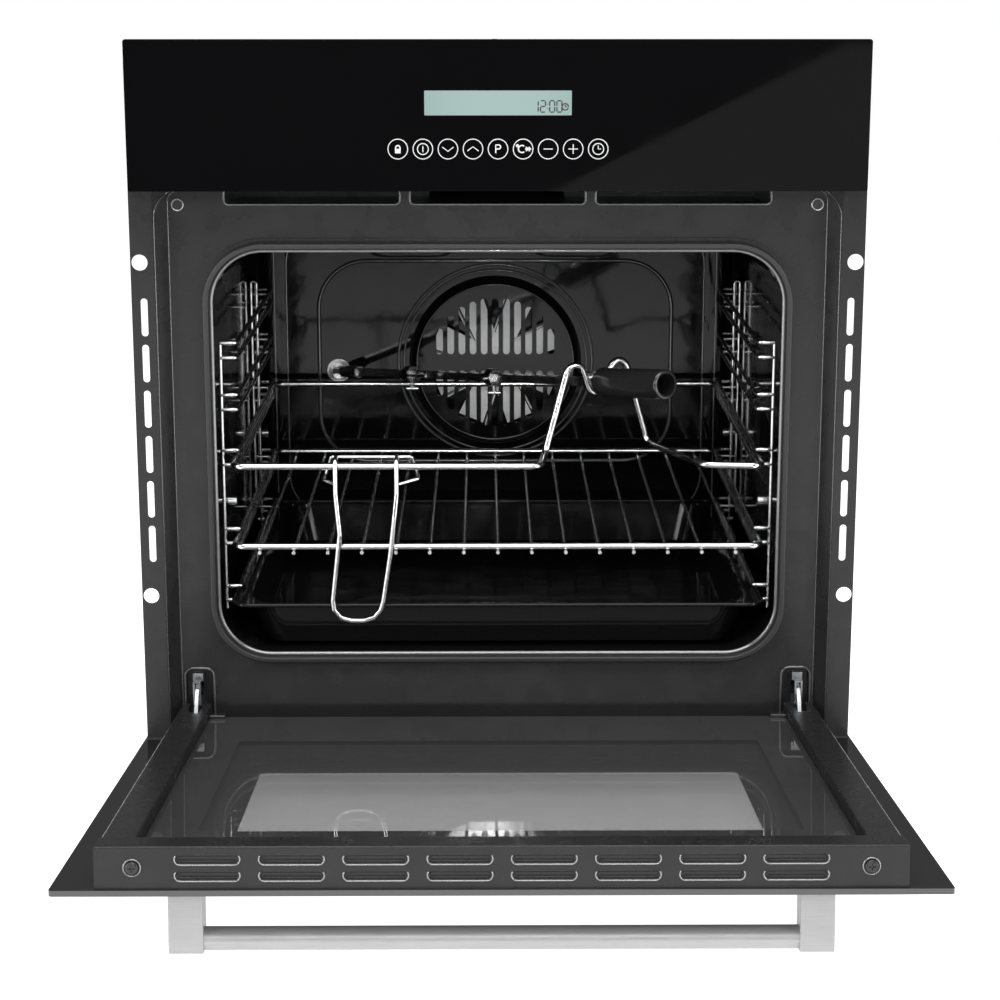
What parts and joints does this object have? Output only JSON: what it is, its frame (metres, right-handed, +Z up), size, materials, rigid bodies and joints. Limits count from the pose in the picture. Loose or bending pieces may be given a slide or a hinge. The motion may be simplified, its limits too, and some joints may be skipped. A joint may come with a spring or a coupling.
{
  "type": "wall oven",
  "caption": "Built-in electric wall oven with an open drop-down glass door, touch control panel, fan cavity, wire racks, deep tray and rotisserie.",
  "frame": {"origin": "centre of the body's footprint, on its flat underside", "axes": "+X to the right seen from the kitchen, +Y into the cabinet, +Z up"},
  "size_m": [0.595, 0.9872, 0.595],
  "materials": {
    "black_glass": "gloss",
    "clear_glass": "gloss",
    "dark_enamel": "satin",
    "black_enamel": "gloss",
    "seal_rubber": "matte",
    "mineral_wool": "matte",
    "zinc_sheet": "satin",
    "black_plastic": "satin",
    "display": "gloss",
    "circuit_board": "satin",
    "chromed_wire": "polished",
    "brushed_handle": "satin",
    "dark_screws": "satin",
    "fan_alloy": "satin",
    "motor_steel": "satin",
    "rotor_plastic": "matte",
    "element_sheath": "satin",
    "lamp_glass": "gloss",
    "probe_steel": "satin"
  },
  "bodies": {
    "oven_body": {"control_panel_glass": "black_glass", "front_plate": "dark_enamel", "right_side_trim": "dark_enamel", "left_side_trim": "dark_enamel", "cavity_liner": "black_enamel", "fan_cover": "black_enamel", "door_gasket": "seal_rubber", "insulation": "mineral_wool", "right_side_panel": "zinc_sheet", "left_side_panel": "zinc_sheet", "top_panel": "zinc_sheet", "rear_panel": "zinc_sheet", "base_panel": "zinc_sheet", "cooling_blower_housing": "zinc_sheet", "hinge_receptacles": "zinc_sheet", "hinge_arm_right": "zinc_sheet", "hinge_arm_left": "zinc_sheet", "control_panel_frame": "black_plastic", "terminal_box": "black_plastic", "display_module": "display", "touch_board": "circuit_board", "right_side_rack": "chromed_wire", "left_side_rack": "chromed_wire", "rack_nuts": "chromed_wire", "plate_screws": "dark_screws", "fan_motor": "motor_steel", "spit_motor": "motor_steel", "grill_element": "element_sheath", "bake_element": "element_sheath", "oven_lamp": "lamp_glass", "temperature_probe": "probe_steel"},
    "door": {"door_outer_glass": "black_glass", "door_inner_glass": "clear_glass", "door_column_left": "dark_enamel", "door_column_right": "dark_enamel", "door_top_rail": "dark_enamel", "door_bottom_rail": "dark_enamel", "glass_clips": "black_plastic", "door_screws": "dark_screws", "handle_bar": "brushed_handle", "handle_post_left": "brushed_handle", "handle_post_right": "brushed_handle", "hinge_bracket_left": "zinc_sheet", "hinge_bracket_right": "zinc_sheet", "hinge_pins": "zinc_sheet"},
    "cradle": {"rotisserie_cradle": "chromed_wire"},
    "spit": {"spit_rod": "chromed_wire", "spit_ferrule": "chromed_wire", "spit_handle": "black_plastic"},
    "fork_rear": {"spit_fork_rear": "chromed_wire"},
    "fork_front": {"spit_fork_front": "chromed_wire"},
    "screw_rear": {"fork_screw_rear": "chromed_wire"},
    "screw_front": {"fork_screw_front": "chromed_wire"},
    "shelf": {"wire_shelf": "chromed_wire"},
    "tray": {"baking_tray": "black_enamel"},
    "lifting_tool": {"lifting_handle": "chromed_wire"},
    "convection_wheel": {"convection_fan": "fan_alloy"},
    "cooling_wheel": {"cooling_rotor": "rotor_plastic"},
    "lock_left": {"hinge_lock_left": "zinc_sheet"},
    "lock_right": {"hinge_lock_right": "zinc_sheet"}
  },
  "joints": [
    {"name": "door_hinge", "type": "hinge", "parent": "oven_body", "child": "door", "pos_m": [0, -0.2705, 0.034], "axis": [-1, 0, 0], "range_deg": [0, 84]},
    {"name": "cradle_slide", "type": "slide", "parent": "oven_body", "child": "cradle", "axis": [0, 1, 0], "range_m": [-0.3, 0]},
    {"name": "shelf_slide", "type": "slide", "parent": "oven_body", "child": "shelf", "axis": [0, 1, 0], "range_m": [-0.3, 0]},
    {"name": "tray_slide", "type": "slide", "parent": "oven_body", "child": "tray", "axis": [0, 1, 0], "range_m": [-0.3, 0]},
    {"name": "spit_spin", "type": "hinge", "parent": "cradle", "child": "spit", "pos_m": [0.085, -0.1835, 0.3044], "axis": [0.5748, -0.8098, 0.1179], "continuous": true},
    {"name": "rear_fork_slide", "type": "slide", "parent": "spit", "child": "fork_rear", "axis": [0.5748, -0.8098, 0.1179], "range_m": [-0.05, 0.05]},
    {"name": "front_fork_slide", "type": "slide", "parent": "spit", "child": "fork_front", "axis": [0.5748, -0.8098, 0.1179], "range_m": [-0.03, 0.06]},
    {"name": "rear_fork_screw_turn", "type": "hinge", "parent": "fork_rear", "child": "screw_rear", "pos_m": [-0.08108, 0.05047, 0.27035], "axis": [0.0682, -0.0961, -0.993], "continuous": true},
    {"name": "front_fork_screw_turn", "type": "hinge", "parent": "fork_front", "child": "screw_front", "pos_m": [-0.00291, -0.05966, 0.28638], "axis": [0.0682, -0.0961, -0.993], "continuous": true},
    {"name": "lifting_tool_swing", "type": "hinge", "parent": "cradle", "child": "lifting_tool", "pos_m": [0, -0.2545, 0.246], "axis": [1, 0, 0], "range_deg": [-70, 0]},
    {"name": "convection_fan_spin", "type": "hinge", "parent": "oven_body", "child": "convection_wheel", "pos_m": [0, 0.1575, 0.2655], "axis": [0, 1, 0], "continuous": true},
    {"name": "cooling_fan_spin", "type": "hinge", "parent": "oven_body", "child": "cooling_wheel", "pos_m": [0, 0.1075, 0.48], "axis": [0, 0, 1], "continuous": true},
    {"name": "lock_left_flip", "type": "hinge", "parent": "oven_body", "child": "lock_left", "pos_m": [-0.254, -0.2645, 0.046], "axis": [-1, 0, 0], "range_deg": [-60, 0]},
    {"name": "lock_right_flip", "type": "hinge", "parent": "oven_body", "child": "lock_right", "pos_m": [0.254, -0.2645, 0.046], "axis": [-1, 0, 0], "range_deg": [-60, 0]}
  ],
  "couplings": [
    {"joint": "shelf_slide", "follows": "cradle_slide", "ratio": 1},
    {"joint": "tray_slide", "follows": "cradle_slide", "ratio": 1}
  ]
}
